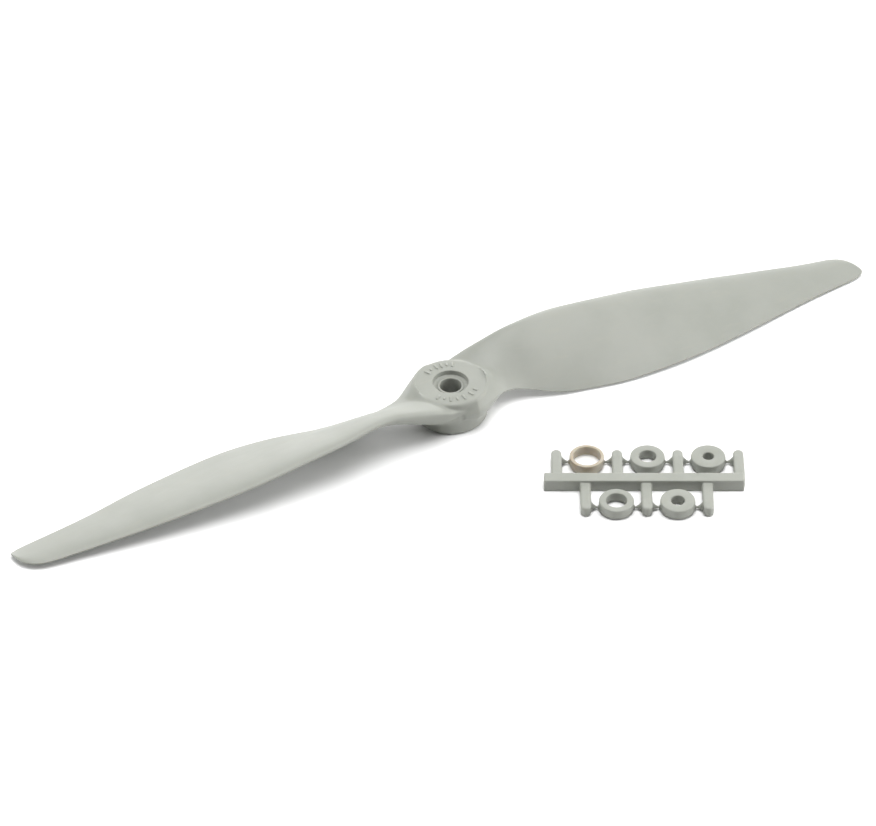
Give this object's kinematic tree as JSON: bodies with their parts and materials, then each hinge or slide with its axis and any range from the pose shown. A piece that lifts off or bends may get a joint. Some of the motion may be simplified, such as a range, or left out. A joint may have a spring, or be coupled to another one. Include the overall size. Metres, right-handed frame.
{
  "type": "propeller",
  "caption": "Two-blade propeller with a round hub, lying beside the moulded runner that carries its adapter rings.",
  "frame": {"origin": "on the shaft bore's axis, in the plane of the hub's rear face, on which the propeller and the ring set lie", "axes": "+X along one blade, +Y to its leading-edge side, +Z along the bore out of the front face"},
  "size_m": [0.2794, 0.0897, 0.0156],
  "materials": {
    "grey_nylon": "satin, glass-filled nylon",
    "ring_8_nylon": "thin tan nylon wall, slightly translucent"
  },
  "bodies": {
    "propeller": {"propeller": "grey_nylon"},
    "ring_set": {"ring_sprue": "grey_nylon"},
    "ring_8mm": {"adapter_ring_8mm": "ring_8_nylon"},
    "ring_6mm": {"adapter_ring_6mm": "grey_nylon"},
    "ring_5mm": {"adapter_ring_5mm": "grey_nylon"},
    "ring_4mm": {"adapter_ring_4mm": "grey_nylon"},
    "ring_3mm": {"adapter_ring_3mm": "grey_nylon"}
  },
  "joints": [
    {"name": "ring_set_lift", "type": "slide", "parent": "propeller", "child": "ring_set", "axis": [0, 0, 1], "range_m": [0, 0.05]},
    {"name": "ring_8mm_lift", "type": "slide", "parent": "ring_set", "child": "ring_8mm", "axis": [0, 0, 1], "range_m": [0, 0.012]},
    {"name": "ring_6mm_lift", "type": "slide", "parent": "ring_set", "child": "ring_6mm", "axis": [0, 0, 1], "range_m": [0, 0.012]},
    {"name": "ring_5mm_lift", "type": "slide", "parent": "ring_set", "child": "ring_5mm", "axis": [0, 0, 1], "range_m": [0, 0.012]},
    {"name": "ring_4mm_lift", "type": "slide", "parent": "ring_set", "child": "ring_4mm", "axis": [0, 0, 1], "range_m": [0, 0.012]},
    {"name": "ring_3mm_lift", "type": "slide", "parent": "ring_set", "child": "ring_3mm", "axis": [0, 0, 1], "range_m": [0, 0.012]}
  ]
}
